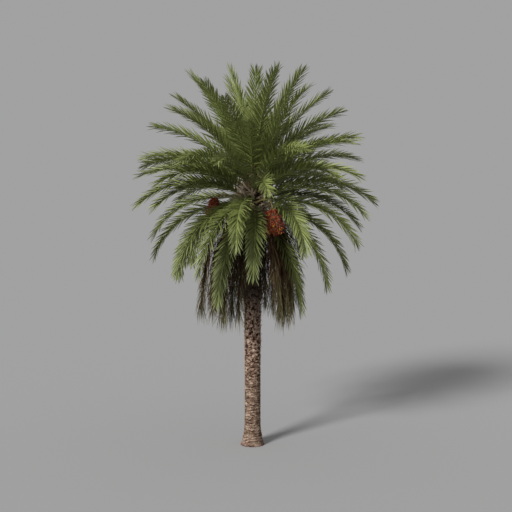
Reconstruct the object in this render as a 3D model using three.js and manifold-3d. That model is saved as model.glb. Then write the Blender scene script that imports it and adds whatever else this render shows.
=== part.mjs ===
// A full-grown date palm, 11 m tall, rooted in the ground.
// Millimetres, +Z up. The origin is the centre of the flat cut under the trunk, at ground level.
//
// The trunk ends in a rounded heart. Every frond is numbered along one spiral on the heart, from the
// youngest, upright at the tip, to the dead ones that hang as a skirt under the living crown. A
// frond's direction, droop and length follow from its number, and its leaflets stop short of the
// space of the fronds round it. Four bunches of dates hang between the lower fronds.

import * as THREE from "three";
import { mergeVertices } from "three/addons/utils/BufferGeometryUtils.js";
import Module from "manifold-3d";

const wasm = await Module();
wasm.setup();

const { degToRad, lerp, clamp } = THREE.MathUtils;

// ---------------------------------------------------------------- driving dimensions

// Trunk
const TRUNK_RADIUS = 240;
const FLARE_RADIUS = 340; // at the ground
const FLARE_HEIGHT = 650;
const FLARE_POWER = 1.5;
const SCAR_PITCH = 175; // height of one row of old leaf bases
const SCAR_RELIEF = 15; // how far a leaf base stands in and out of the trunk's mean radius
const SCARS_END = 6300; // the heart is smooth above this
const TRUNK_SIDES = 18;

// Heart: the upper part of an egg, on which the fronds stand
const HEART_RADIUS = 300;
const HEART_CENTRE = 7114;
const HEART_HEIGHT = 937; // from its centre to its tip
const HEART_RINGS = 8;
const HEART_SPAN = 1.185; // share of the egg's height that the green fronds cover, from the tip down

// Bud: the sheath that holds the youngest fronds together, and the unopened leaf in it
const BUD = [
  [0, -60],
  [128, 0],
  [118, 120],
  [70, 330],
  [30, 620],
  [0, 1250],
]; // radius, and height above the bud's lower edge
const BUD_SEAT = 0.9; // share of the heart's height at which the bud's lower edge lies
const BUD_FOOT = HEART_CENTRE + BUD_SEAT * HEART_HEIGHT;
const BUD_SIDES = 8;

// Crown
const GREEN_FRONDS = 70;
const DEAD_FRONDS = 20;
const BUD_FRONDS = 8; // the youngest, fused in the bud
const LONE_FRONDS_END = 30; // fronds from here on are fused in pairs, as their bases have grown together
const PAIR_STEP = 5; // a frond's neighbour along the spiral
const GOLDEN_ANGLE = 137.508;
const FIRST_AZIMUTH = 211.8;
const CROWN_SPREAD = 1.7; // how far down the oldest green fronds point, as a fall in the sine
const LAUNCH_LIFT = 0.384; // share of its droop by which a frond sets out above its chord
const LAUNCH_LEAD = 15; // a first guess at that rise, in degrees
const LAUNCH_MOST = 88;
const DROOP_LEAST = 13.6;
const DROOP_MOST = 54.6; // added to the least on a frond that sets out level
const DROOP_POWER = 1.4; // how late along the rib the droop comes
const STEEPEST = 87;
const FROND_LENGTH = 2876;
const FROND_LENGTH_GAIN = 381; // by which the middle-aged fronds are longer than the youngest
const FULL_LENGTH_AGE = 0.5; // from which age on a frond has its full length
// The fronds that time has moved from their place on the spiral, in degrees round and up.
const MOVED = {
  0: [0, -4], 1: [0, 3], 3: [8, 0], 6: [0, 3], 8: [-3, 0], 9: [0, 1], 13: [0, 5], 14: [0, -2],
  17: [0, 2], 19: [0, 8], 21: [0, 4], 23: [0, -5], 26: [0, -4], 29: [0, -6], 35: [-14, -3],
  39: [0, 3], 45: [5, 4], 50: [-25, 6], 52: [0, -4], 53: [-15, -12], 55: [0, -24], 57: [-10, -10],
  61: [8, -22], 63: [6, -4], 65: [0, -4], 68: [29, -20], 69: [-26, -24], 76: [-2, 0], 79: [-30, 0],
  89: [-1, 0],
};
// The fronds that are long or short for their age.
const GROWN = { 1: 1.06, 5: 1.1, 6: 1.05, 11: 1.1, 26: 0.95, 35: 0.94, 44: 0.8, 45: 0.72 };
const AZIMUTH_JITTER = 4.37;
const LAUNCH_JITTER = 2.225;
const LENGTH_JITTER = 0.038;
const SWAY = 14.2; // how far a frond's tip swings to one side, in degrees
const TWIST = 35; // how far a blade has turned about its rib by the tip, in degrees
const SEED = 1549;

// Dead fronds
const DEAD_LENGTH = 3080;
const DEAD_LENGTH_JITTER = 0.14;
const DEAD_LAUNCH = -12;
const DEAD_LAUNCH_JITTER = 30;
const DEAD_AZIMUTH_JITTER = 2;
const DEAD_SWAY = 6;
const DEAD_FOLD = 0.24; // share of the rib over which it folds down to hang

// Blade
const RIB_STEPS = 60; // fine steps along a rib
const STALK_STEPS = [0, 3, 9]; // the bare stalk's stations, as fine steps
const TOOTH_STEPS = 5; // fine steps to a leaflet
const DEAD_TOOTH_STEPS = 10;
const CHAIN_STEPS = 4; // fine steps to a link of the chain that stands for a rib
const LEAFLET = 560; // longest leaflet
const DEAD_LEAFLET = 560;
const LEAFLET_RISE = 0.3; // share of the blade over which leaflets grow to full length
const LEAFLET_FIRST = 0.45; // length of the first leaflets, as a share of the longest
const LEAFLET_LAST = 0.68; // and of the last
const LEAFLET_TAPER = 1.5; // how late along the blade they get shorter
const END_LEAFLET = 0.36; // the one that ends the rib, as a share of the longest
const SWEEP_FIRST = 48; // angle from the rib, first and last leaflet
const SWEEP_LAST = 29;
const DEAD_SWEEP = 24;
const LEAFLET_LIFT = 22; // by which the blade's two halves fold up
const RIB_WIDTHS = { base: 92, stalk: 54, blade: 34, tip: 14 };
const RIB_HEIGHTS = { base: 46, stalk: 34, blade: 26, tip: 13 };
const YOUNG_BASE = 0.55; // width of the youngest frond's base, as a share of an old one's
const FULL_BASE_AGE = 0.5; // age from which a base has its full width
const ROOT_DEPTH = 45; // how far a base is sunk in before the trunk is cut from it
const RIB_TIP = 0.985; // where the last leaflets end, as a share of the rib
const WEB_STEP = 1; // fine step at which a web joins two fronds
const WEB_THICKNESS = 30;

// Space between neighbours
const GAP = 0.5; // what is cut by the trunk or the bud stands this far off it
const OWN_SPACE_MARGIN = 26;
const TRUNK_MARGIN = 50;
const LENGTH_TRIES = [1, 0.86, 0.72, 0.58, 0.44, 0.3];
const EDGE_SHARES = [0.35, 0.6, 0.8, 1]; // the points of a leaflet's edges that are tested for room

// Date bunches: where each hangs, where its stalk leaves the heart, and its size
const BUNCHES = [
  { azimuth: -65.6, reach: 1340, height: 6530, stalkFoot: 7080, size: 1 },
  { azimuth: -169, reach: 1130, height: 6980, stalkFoot: 7240, size: 0.8 },
  { azimuth: 40, reach: 950, height: 6550, stalkFoot: 7060, size: 0.9 },
  { azimuth: 128, reach: 950, height: 6620, stalkFoot: 7060, size: 0.95 },
];
const BUNCH_PROFILE = [
  [0, 380],
  [95, 320],
  [195, 130],
  [262, -110],
  [220, -290],
  [0, -370],
]; // radius and height, about the middle of a bunch of size 1
const BUNCH_SIDES = 7;
const BUNCH_PUSH = 20.35; // by which the lower fronds stand aside of a bunch, in degrees
const BUNCH_PUSH_REACH = 21;
const BUNCH_PUSH_FROM = 0.5; // the age at which fronds start to stand aside
const BUNCH_PUSH_FULL = 0.7;
const BUNCH_STALK_RADIUS = 20;
const BUNCH_STALK_SIDES = 5;
const BUNCH_STALK_STEPS = 6;
const BUNCH_STALK_RISE = 100; // how far its arch rises above its foot
const BUNCH_STALK_SINK = 60; // how far it goes into the bunch
const DATE_RADIUS = 55;
const DATES = 10;

// ---------------------------------------------------------------- small helpers

const PURPOSES = ["", "azimuth", "launch", "length", "sway", "twist"];

/** A fixed number from -1 to 1 for each frond and purpose, by the usual hash with a sine. */
function jitter(number, purpose) {
  const mix = number * 12.9898 + PURPOSES.indexOf(purpose) * 78.233 + SEED * 37.719;
  const x = Math.sin(mix) * 43758.5453;
  return 2 * (x - Math.floor(x)) - 1;
}

/** A point from its azimuth in degrees, its distance from the trunk's axis and its height. */
function polar(azimuth, radius, height) {
  const a = degToRad(azimuth);
  return new THREE.Vector3(radius * Math.cos(a), radius * Math.sin(a), height);
}

/** The closed geometry as a solid that can be joined and cut. */
function solidOf(geometry) {
  const bare = new THREE.BufferGeometry();
  bare.setAttribute("position", geometry.getAttribute("position"));
  bare.setIndex(geometry.index);
  const merged = mergeVertices(bare, 1e-3);
  const index = merged.index.array;
  const faces = [];
  for (let k = 0; k < index.length; k += 3) {
    const [a, b, c] = [index[k], index[k + 1], index[k + 2]];
    if (a !== b && b !== c && c !== a) faces.push(a, b, c);
  }
  return new wasm.Manifold(
    new wasm.Mesh({
      numProp: 3,
      vertProperties: merged.attributes.position.array,
      triVerts: new Uint32Array(faces),
    }),
  );
}

/** The solid's faces as a geometry, with scraps that a cut has left loose dropped. */
function geometryOf(solid) {
  const pieces = solid.decompose().sort((a, b) => b.volume() - a.volume());
  const mesh = pieces[0].getMesh();
  const positions = new Float32Array(mesh.numVert * 3);
  for (let v = 0; v < mesh.numVert; v++) {
    const from = v * mesh.numProp;
    positions.set(mesh.vertProperties.subarray(from, from + 3), v * 3);
  }
  const geometry = new THREE.BufferGeometry();
  geometry.setAttribute("position", new THREE.BufferAttribute(positions, 3));
  geometry.setIndex(new THREE.BufferAttribute(mesh.triVerts, 1));
  geometry.computeVertexNormals();
  return geometry;
}

/** A solid of revolution about +Z from a profile of [radius, height], lower end first. */
function turned(profile, sides) {
  const points = profile.map(([radius, height]) => new THREE.Vector2(radius, height));
  return new THREE.LatheGeometry(points, sides).rotateX(Math.PI / 2);
}

// ---------------------------------------------------------------- trunk

/** The bare trunk's radius, flaring to the ground. */
function stemRadius(height) {
  const flare = clamp(1 - height / FLARE_HEIGHT, 0, 1);
  return TRUNK_RADIUS + (FLARE_RADIUS - TRUNK_RADIUS) * flare ** FLARE_POWER;
}

/** The egg-shaped heart's radius at a height. */
function heartRadius(height, growth = 0) {
  const share = (height - HEART_CENTRE) / (HEART_HEIGHT + growth);
  return (HEART_RADIUS + growth) * Math.sqrt(Math.max(0, 1 - share * share));
}

/** The trunk and its heart in one piece, with rows of leaf bases. Growth makes it larger all over. */
function trunkSolid(growth = 0) {
  const rows = Math.round(SCARS_END / SCAR_PITCH);
  const profile = [[0, 0]];
  for (let row = 0; row <= rows; row++) {
    const height = (row / rows) * SCARS_END;
    profile.push([stemRadius(height) + growth, height]);
  }
  const top = HEART_CENTRE + HEART_HEIGHT + growth;
  const turn = Math.acos((SCARS_END - HEART_CENTRE) / HEART_HEIGHT);
  for (let ring = 1; ring < HEART_RINGS; ring++) {
    const height = HEART_CENTRE + (top - HEART_CENTRE) * Math.cos(turn * (1 - ring / HEART_RINGS));
    profile.push([heartRadius(height, growth), height]);
  }
  profile.push([0, top]);

  const geometry = turned(profile, TRUNK_SIDES);
  const place = geometry.getAttribute("position");
  const scarred = (ring) => ring > 1 && ring <= rows;
  for (let side = 0; side <= TRUNK_SIDES; side++) {
    for (let ring = 0; ring < profile.length; ring++) {
      if (!scarred(ring)) continue;
      const k = side * profile.length + ring;
      const radius = profile[ring][0];
      const scale = (radius + ((side + ring) % 2 ? -SCAR_RELIEF : SCAR_RELIEF)) / radius;
      place.setX(k, place.getX(k) * scale);
      place.setY(k, place.getY(k) * scale);
    }
  }
  return solidOf(geometry);
}

/** The bud that stands on the heart's tip. Growth makes it larger all over. */
function budSolid(growth = 0) {
  const profile = BUD.map(([radius, height]) => [
    radius ? radius + growth : 0,
    BUD_FOOT + height + (height < 0 ? -growth : growth),
  ]);
  return solidOf(turned(profile, BUD_SIDES));
}

// ---------------------------------------------------------------- the lines of the ribs

/** The azimuth of a lower frond once it has made way for the date bunches. */
function standAside(azimuth, age) {
  const share = clamp((age - BUNCH_PUSH_FROM) / (BUNCH_PUSH_FULL - BUNCH_PUSH_FROM), 0, 1);
  let moved = azimuth;
  for (const bunch of BUNCHES) {
    const off = THREE.MathUtils.euclideanModulo(moved - bunch.azimuth + 180, 360) - 180;
    const push = BUNCH_PUSH * share * Math.exp(-Math.abs(off) / BUNCH_PUSH_REACH);
    moved += off < 0 ? -push : push;
  }
  return moved;
}

/** How far a green frond droops by its tip, in degrees, when it sets out at this elevation. */
function droopFrom(elevation) {
  return DROOP_LEAST + DROOP_MOST * Math.cos(degToRad(elevation)) ** 2;
}

/** What sets one frond apart: its place on the spiral, its direction, its droop and its length. */
function frondPlan(number) {
  const dead = number >= GREEN_FRONDS;
  const age = (number + 0.5) / GREEN_FRONDS;
  const share = 1 - HEART_SPAN * age; // height on the heart: 1 at its tip, 0 at its middle
  const scatter = (dead ? DEAD_AZIMUTH_JITTER : AZIMUTH_JITTER) * jitter(number, "azimuth");
  const [turn, rise] = MOVED[number] ?? [0, 0];
  const plan = {
    number,
    dead,
    age,
    azimuth: standAside(FIRST_AZIMUTH + number * GOLDEN_ANGLE + scatter, age) + turn,
    height: HEART_CENTRE + HEART_HEIGHT * share,
    sway: (dead ? DEAD_SWAY : SWAY) * jitter(number, "sway"),
    twist: TWIST * jitter(number, "twist"),
  };
  if (dead) {
    const launch = DEAD_LAUNCH + DEAD_LAUNCH_JITTER * jitter(number, "launch");
    plan.elevation = (u) => lerp(-STEEPEST, launch, Math.exp(-u / DEAD_FOLD));
    plan.length = DEAD_LENGTH * (1 + DEAD_LENGTH_JITTER * jitter(number, "length"));
    return plan;
  }
  const chord = THREE.MathUtils.radToDeg(Math.asin(clamp(1 - CROWN_SPREAD * age, -1, 1)));
  const aim = Math.min(chord + LAUNCH_LIFT * droopFrom(chord + LAUNCH_LEAD), LAUNCH_MOST);
  const launch = aim + LAUNCH_JITTER * jitter(number, "launch") + rise;
  const droop = droopFrom(launch);
  plan.elevation = (u) => Math.max(launch - droop * u ** DROOP_POWER, -STEEPEST);
  const length = FROND_LENGTH + FROND_LENGTH_GAIN * Math.sin(Math.PI * Math.min(age, FULL_LENGTH_AGE));
  plan.length = length * (1 + LENGTH_JITTER * jitter(number, "length")) * (GROWN[number] ?? 1);
  return plan;
}

/** The rib in fine steps: at each, its place and the directions along, to the right and up. */
function ribLine(plan) {
  const stations = [];
  const place = polar(plan.azimuth, heartRadius(plan.height), plan.height);
  const step = plan.length / RIB_STEPS;
  for (let k = 0; k <= RIB_STEPS; k++) {
    const u = k / RIB_STEPS;
    const azimuth = degToRad(plan.azimuth + plan.sway * u * u);
    const elevation = degToRad(plan.elevation(u));
    const level = Math.cos(elevation);
    const along = new THREE.Vector3(
      level * Math.cos(azimuth),
      level * Math.sin(azimuth),
      Math.sin(elevation),
    );
    const side = new THREE.Vector3(Math.sin(azimuth), -Math.cos(azimuth), 0);
    side.applyAxisAngle(along, degToRad(plan.twist * u));
    const up = new THREE.Vector3().crossVectors(side, along);
    stations.push({ u, place: place.clone(), along, side, up });
    place.addScaledVector(along, step);
  }
  return stations;
}

/** The distance from a point to a chain of straight lines. */
function distanceTo(point, chain) {
  let least = Infinity;
  const line = new THREE.Line3();
  const nearest = new THREE.Vector3();
  for (let k = 1; k < chain.length; k++) {
    line.set(chain[k - 1], chain[k]).closestPointToPoint(point, true, nearest);
    least = Math.min(least, nearest.distanceTo(point));
  }
  return least;
}

// ---------------------------------------------------------------- fronds

const plans = Array.from({ length: GREEN_FRONDS + DEAD_FRONDS }, (_, number) => frondPlan(number));
const ribs = plans.map(ribLine);
const ribChains = ribs.map((rib) => rib.filter((_, k) => k % CHAIN_STEPS === 0).map((s) => s.place));
const bunchStalkChains = BUNCHES.map((bunch) => bunchStalk(bunch).getPoints(BUNCH_STALK_STEPS));
const bunchSpaces = BUNCHES.map(({ azimuth, reach, height, size }) => {
  const widest = Math.max(...BUNCH_PROFILE.map(([radius]) => radius));
  const rise = size * (BUNCH_PROFILE[0][1] - widest);
  return {
    line: [polar(azimuth, reach, height + rise), polar(azimuth, reach, height - rise)],
    radius: size * (widest + DATE_RADIUS),
  };
});

/** Whether a point is nearer to a frond's own rib than to any other, and clear of the bunches. */
function inOwnSpace(point, number) {
  const own = distanceTo(point, ribChains[number]) + OWN_SPACE_MARGIN;
  const clearOf = (chain) => {
    const near = chain.some((p) => p.distanceTo(point) < own + LEAFLET);
    return !near || distanceTo(point, chain) > own;
  };
  return (
    ribChains.every((chain, other) => other === number || clearOf(chain)) &&
    bunchStalkChains.every(
      (chain) => distanceTo(point, chain) > BUNCH_STALK_RADIUS + OWN_SPACE_MARGIN,
    ) &&
    bunchSpaces.every(({ line, radius }) => distanceTo(point, line) > radius + OWN_SPACE_MARGIN) &&
    Math.hypot(point.x, point.y) > stemRadius(point.z) + TRUNK_MARGIN
  );
}

/** A rib's width and height along a frond: broad at the base, then a stalk, then the blade's rib. */
function ribSection(plan, u) {
  const bladeStart = STALK_STEPS.at(-1) / RIB_STEPS;
  const young = lerp(YOUNG_BASE, 1, clamp(plan.age / FULL_BASE_AGE, 0, 1));
  const size = ({ base, stalk, blade, tip }) => {
    if (u < bladeStart) {
      const flare = (1 - u / bladeStart) ** 2;
      return lerp(stalk, base * young, flare);
    }
    return lerp(blade, tip, (u - bladeStart) / (1 - bladeStart));
  };
  return { width: size(RIB_WIDTHS), height: size(RIB_HEIGHTS) };
}

/** The direction and length of the leaflet on one side (1 right, -1 left) at a station. */
function leafletAt(plan, station, hand) {
  const bladeStart = STALK_STEPS.at(-1) / RIB_STEPS;
  const share = (station.u - bladeStart) / (RIB_TIP - bladeStart);
  const growth = clamp(share / LEAFLET_RISE, 0, 1);
  const fall = clamp((share - LEAFLET_RISE) / (1 - LEAFLET_RISE), 0, 1);
  const longest = plan.dead ? DEAD_LEAFLET : LEAFLET;
  const decline = lerp(1, LEAFLET_LAST, fall ** LEAFLET_TAPER);
  const length = longest * lerp(LEAFLET_FIRST, 1, growth) * decline;
  const sweep = degToRad(plan.dead ? DEAD_SWEEP : lerp(SWEEP_FIRST, SWEEP_LAST, share));
  const lift = degToRad(LEAFLET_LIFT);
  const out = new THREE.Vector3()
    .addScaledVector(station.side, hand * Math.cos(lift))
    .addScaledVector(station.up, Math.sin(lift));
  const direction = new THREE.Vector3()
    .addScaledVector(station.along, Math.cos(sweep))
    .addScaledVector(out, Math.sin(sweep));
  return { direction, length };
}

/** The leaflet's tip, as far out as the frond's own space lets it go, or null where it has no room. */
function leafletTip(plan, before, after, hand) {
  const { direction, length } = leafletAt(plan, after, hand);
  const roots = [before.place, after.place];
  for (const share of LENGTH_TRIES) {
    const tip = after.place.clone().addScaledVector(direction, length * share);
    const edgePoints = roots.flatMap((root) => EDGE_SHARES.map((t) => root.clone().lerp(tip, t)));
    if (edgePoints.every((point) => inOwnSpace(point, plan.number))) return tip;
  }
  return null;
}

/** One frond: a rib of diamond section, with a toothed blade along both its sides. */
function frondSolid(plan) {
  const rib = ribs[plan.number];
  const bladeEnd = RIB_STEPS - 1;
  const steps = [...STALK_STEPS];
  const toothSteps = plan.dead ? DEAD_TOOTH_STEPS : TOOTH_STEPS;
  while (steps.at(-1) + toothSteps <= bladeEnd) steps.push(steps.at(-1) + toothSteps);
  const positions = [];
  const faces = [];
  const add = (point) => positions.push(point.x, point.y, point.z) / 3 - 1;

  // Rings of four corners: top, right, bottom, left.
  const rings = steps.map((step) => {
    const { place, along, side, up, u } = rib[step];
    const { width, height } = ribSection(plan, u);
    const centre = step ? place.clone() : place.clone().addScaledVector(along, -ROOT_DEPTH);
    return [
      add(centre.clone().addScaledVector(up, height / 2)),
      add(centre.clone().addScaledVector(side, width / 2)),
      add(centre.clone().addScaledVector(up, -height / 2)),
      add(centre.clone().addScaledVector(side, -width / 2)),
    ];
  });
  const wall = (near, far, corner) => {
    const next = (corner + 1) % 4;
    faces.push(near[corner], near[next], far[corner]);
    faces.push(near[next], far[next], far[corner]);
  };
  const cone = (loop, tip) => loop.forEach((k, n) => faces.push(k, loop[(n + 1) % loop.length], tip));

  for (let k = 1; k < rings.length; k++) {
    const [near, far] = [rings[k - 1], rings[k]];
    for (const [hand, corner] of [
      [1, 0],
      [-1, 2],
    ]) {
      const bare = steps[k - 1] < STALK_STEPS.at(-1);
      const tip = bare ? null : leafletTip(plan, rib[steps[k - 1]], rib[steps[k]], hand);
      const [middle, last] = [corner + 1, (corner + 2) % 4];
      if (tip) {
        cone([near[corner], near[middle], near[last], far[last], far[middle], far[corner]], add(tip));
      } else {
        wall(near, far, corner);
        wall(near, far, middle);
      }
    }
  }
  const [top, right, bottom, left] = rings[0];
  faces.push(top, left, bottom, top, bottom, right);
  const { place, along } = rib[RIB_STEPS];
  const endLeaflet = END_LEAFLET * (plan.dead ? DEAD_LEAFLET : LEAFLET);
  cone(rings.at(-1), add(place.clone().addScaledVector(along, endLeaflet)));

  const geometry = new THREE.BufferGeometry();
  geometry.setAttribute("position", new THREE.Float32BufferAttribute(positions, 3));
  geometry.setIndex(faces);
  return solidOf(geometry);
}

/** A short bar between the bases of two fronds that have grown together. */
function webSolid(numberA, numberB) {
  const [a, b] = [numberA, numberB].map((number) => ribs[number][WEB_STEP].place);
  const across = new THREE.Vector3().subVectors(b, a);
  const bar = new THREE.BoxGeometry(WEB_THICKNESS, WEB_THICKNESS, across.length());
  const turn = new THREE.Quaternion().setFromUnitVectors(
    new THREE.Vector3(0, 0, 1),
    across.clone().normalize(),
  );
  bar.applyQuaternion(turn);
  const middle = a.clone().lerp(b, 0.5);
  bar.translate(middle.x, middle.y, middle.z);
  return solidOf(bar);
}

// ---------------------------------------------------------------- date bunches

/** The line of a bunch's stalk: out of the heart, over an arch and down into the bunch. */
function bunchStalk({ azimuth, reach, height, stalkFoot, size }) {
  const arch = stalkFoot + BUNCH_STALK_RISE;
  const top = height + size * BUNCH_PROFILE[1][1];
  return new THREE.CubicBezierCurve3(
    polar(azimuth, heartRadius(stalkFoot) - ROOT_DEPTH, stalkFoot),
    polar(azimuth, (HEART_RADIUS + reach) / 2, arch),
    polar(azimuth, reach, arch),
    polar(azimuth, reach, top - BUNCH_STALK_SINK),
  );
}

/** One bunch: its stalk and a bell-shaped mass with dates standing out of it. */
function bunchSolid(bunch) {
  const corners = Array.from({ length: BUNCH_STALK_SIDES }, (_, k) => {
    const { x, y } = polar((k * 360) / BUNCH_STALK_SIDES, BUNCH_STALK_RADIUS, 0);
    return new THREE.Vector2(x, y);
  });
  const stalk = new THREE.ExtrudeGeometry(new THREE.Shape(corners), {
    steps: BUNCH_STALK_STEPS,
    extrudePath: bunchStalk(bunch),
  });
  const profile = [...BUNCH_PROFILE].reverse();
  const parts = [solidOf(turned(profile, BUNCH_SIDES))];
  for (let k = 0; k < DATES; k++) {
    const height = lerp(profile[0][1], profile.at(-2)[1], (k + 0.5) / DATES);
    const above = profile.findIndex(([, h]) => h > height);
    const [low, high] = [profile[above - 1], profile[above]];
    const radius = lerp(low[0], high[0], (height - low[1]) / (high[1] - low[1]));
    const { x, y, z } = polar(k * GOLDEN_ANGLE, radius, height);
    parts.push(solidOf(new THREE.OctahedronGeometry(DATE_RADIUS).translate(x, y, z)));
  }
  const { x, y, z } = polar(bunch.azimuth, bunch.reach, bunch.height);
  const hung = wasm.Manifold.union(parts).scale(bunch.size).translate([x, y, z]);
  return hung.add(solidOf(stalk)).subtract(cutter);
}

// ---------------------------------------------------------------- the palm

const BARK = new THREE.MeshStandardMaterial({ color: 0x7d6a59, roughness: 0.95, metalness: 0 });
const GREEN = new THREE.MeshStandardMaterial({ color: 0x5f7034, roughness: 0.55, metalness: 0 });
const DRY = new THREE.MeshStandardMaterial({ color: 0x5c4d33, roughness: 0.9, metalness: 0 });
const DATE = new THREE.MeshStandardMaterial({ color: 0xb2401a, roughness: 0.4, metalness: 0 });

const palm = new THREE.Group();

/** Adds a solid to the palm as a mesh of its own. */
function place(name, solid, material) {
  const mesh = new THREE.Mesh(geometryOf(solid), material);
  mesh.name = name;
  palm.add(mesh);
}

const twoDigits = (count) => String(count).padStart(2, "0");
const trunkCutter = trunkSolid(GAP);
const cutter = trunkCutter.add(budSolid(GAP));

place("trunk", trunkSolid(), BARK);

const budFronds = plans.slice(0, BUD_FRONDS).map(frondSolid);
place("heart_fronds", wasm.Manifold.union([budSolid(), ...budFronds]).subtract(trunkCutter), GREEN);

for (let number = BUD_FRONDS; number < LONE_FRONDS_END; number++) {
  const name = "frond_" + twoDigits(number - BUD_FRONDS + 1);
  place(name, frondSolid(plans[number]).subtract(cutter), GREEN);
}

let pairs = 0;
for (let number = LONE_FRONDS_END; number < plans.length; number++) {
  const second = (number - LONE_FRONDS_END) % (2 * PAIR_STEP) >= PAIR_STEP;
  if (second) continue;
  const other = number + PAIR_STEP;
  const dead = number >= GREEN_FRONDS;
  if (number === GREEN_FRONDS) pairs = 0;
  pairs += 1;
  const both = [frondSolid(plans[number]), frondSolid(plans[other]), webSolid(number, other)];
  const name = (dead ? "dead_frond_pair_" : "frond_pair_") + twoDigits(pairs);
  place(name, wasm.Manifold.union(both).subtract(cutter), dead ? DRY : GREEN);
}

BUNCHES.forEach((bunch, k) => place("date_bunch_" + (k + 1), bunchSolid(bunch), DATE));

export default palm;
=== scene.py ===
"""The finish of a full-grown date palm: bark, fronds with fine leaflets, a dead skirt and dates.

Metres, +Z up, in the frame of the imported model. Every frond grows again here by the rule that the
model's solids follow, and carries fine leaflets in place of the solids' wide ones.
"""

import math

import bmesh
import bpy
import numpy as np
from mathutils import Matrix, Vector, noise


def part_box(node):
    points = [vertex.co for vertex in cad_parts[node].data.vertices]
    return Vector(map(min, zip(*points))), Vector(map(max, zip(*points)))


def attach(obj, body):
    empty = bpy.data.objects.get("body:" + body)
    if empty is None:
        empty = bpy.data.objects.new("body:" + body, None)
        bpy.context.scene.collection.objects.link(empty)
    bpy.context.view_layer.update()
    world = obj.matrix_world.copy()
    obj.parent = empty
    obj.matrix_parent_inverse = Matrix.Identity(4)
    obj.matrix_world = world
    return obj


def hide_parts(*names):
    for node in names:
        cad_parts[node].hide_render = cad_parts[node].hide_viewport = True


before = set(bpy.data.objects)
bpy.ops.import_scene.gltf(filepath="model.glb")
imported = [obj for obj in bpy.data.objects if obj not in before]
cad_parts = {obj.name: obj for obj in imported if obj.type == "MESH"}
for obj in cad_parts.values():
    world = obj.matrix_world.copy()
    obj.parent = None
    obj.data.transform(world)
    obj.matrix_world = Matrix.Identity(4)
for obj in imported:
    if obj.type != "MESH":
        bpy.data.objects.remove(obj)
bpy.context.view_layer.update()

# ---- the growth rule, the same as the solids'

SEED = 1549
GOLDEN_ANGLE = 137.508

TRUNK_RADIUS = 0.240
FLARE_RADIUS = 0.340
FLARE_HEIGHT = 0.650
FLARE_POWER = 1.5
HEART_RADIUS = 0.300
HEART_HEIGHT = 0.937
HEART_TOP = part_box("trunk")[1].z
HEART_CENTRE = HEART_TOP - HEART_HEIGHT
HEART_SPAN = 1.185

GREEN_FRONDS = 70
DEAD_FRONDS = 20
BUD_FRONDS = 8
LONE_FRONDS_END = 30
PAIR_STEP = 5
FIRST_AZIMUTH = 211.8
CROWN_SPREAD = 1.7
LAUNCH_LIFT = 0.384
LAUNCH_LEAD = 15
LAUNCH_MOST = 88
DROOP_LEAST = 13.6
DROOP_MOST = 54.6
DROOP_POWER = 1.4
STEEPEST = 87
FROND_LENGTH = 2.876
FROND_LENGTH_GAIN = 0.381
FULL_LENGTH_AGE = 0.5
# Fronds set off their places on the spiral: degrees round and up.
MOVED = {
    0: (0, -4), 1: (0, 3), 3: (8, 0), 6: (0, 3), 8: (-3, 0), 9: (0, 1), 13: (0, 5), 14: (0, -2),
    17: (0, 2), 19: (0, 8), 21: (0, 4), 23: (0, -5), 26: (0, -4), 29: (0, -6), 35: (-14, -3),
    39: (0, 3), 45: (5, 4), 50: (-25, 6), 52: (0, -4), 53: (-15, -12), 55: (0, -24),
    57: (-10, -10), 61: (8, -22), 63: (6, -4), 65: (0, -4), 68: (29, -20), 69: (-26, -24),
    76: (-2, 0), 79: (-30, 0), 89: (-1, 0),
}
# Fronds set to listed shares of the length that their age gives.
GROWN = {1: 1.06, 5: 1.1, 6: 1.05, 11: 1.1, 26: 0.95, 35: 0.94, 44: 0.8, 45: 0.72}
AZIMUTH_JITTER = 4.37
LAUNCH_JITTER = 2.225
LENGTH_JITTER = 0.038
SWAY = 14.2
TWIST = 35

DEAD_LENGTH = 3.080
DEAD_LENGTH_JITTER = 0.14
DEAD_LAUNCH = -12
DEAD_LAUNCH_JITTER = 30
DEAD_AZIMUTH_JITTER = 2
DEAD_SWAY = 6
DEAD_FOLD = 0.24

RIB_STEPS = 60
BLADE_START = 9 / RIB_STEPS
RIB_TIP = 0.985
RIB_WIDTHS = {"base": 0.092, "stalk": 0.054, "blade": 0.034, "tip": 0.014}
RIB_HEIGHTS = {"base": 0.046, "stalk": 0.034, "blade": 0.026, "tip": 0.013}
YOUNG_BASE = 0.55
FULL_BASE_AGE = 0.5
ROOT_DEPTH = 0.045

BUNCHES = [
    {"azimuth": -65.6, "reach": 1.340, "height": 6.530, "stalk_foot": 7.080, "size": 1},
    {"azimuth": -169, "reach": 1.130, "height": 6.980, "stalk_foot": 7.240, "size": 0.8},
    {"azimuth": 40, "reach": 0.950, "height": 6.550, "stalk_foot": 7.060, "size": 0.9},
    {"azimuth": 128, "reach": 0.950, "height": 6.620, "stalk_foot": 7.060, "size": 0.95},
]
BUNCH_TOP = 0.330  # where the strands part, above the bunch's middle, on a bunch of size 1
BUNCH_PUSH = 20.35
BUNCH_PUSH_REACH = 21
BUNCH_PUSH_FROM = 0.5
BUNCH_PUSH_FULL = 0.7
BUNCH_STALK_RISE = 0.100
BUNCH_STALK_SINK = 0.060

PURPOSES = ["", "azimuth", "launch", "length", "sway", "twist"]
UP = np.array([0, 0, 1.0])


def jitter(number, purpose):
    """A fixed number from -1 to 1 for each frond and purpose."""
    mix = number * 12.9898 + PURPOSES.index(purpose) * 78.233 + SEED * 37.719
    x = math.sin(mix) * 43758.5453
    return 2 * (x - math.floor(x)) - 1


def lerp(a, b, t):
    return a + (b - a) * t


def polar(azimuth, radius, height):
    """A point from its azimuth in degrees, its distance from the trunk's axis and its height."""
    a = math.radians(azimuth)
    return np.array([radius * math.cos(a), radius * math.sin(a), height])


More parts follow.
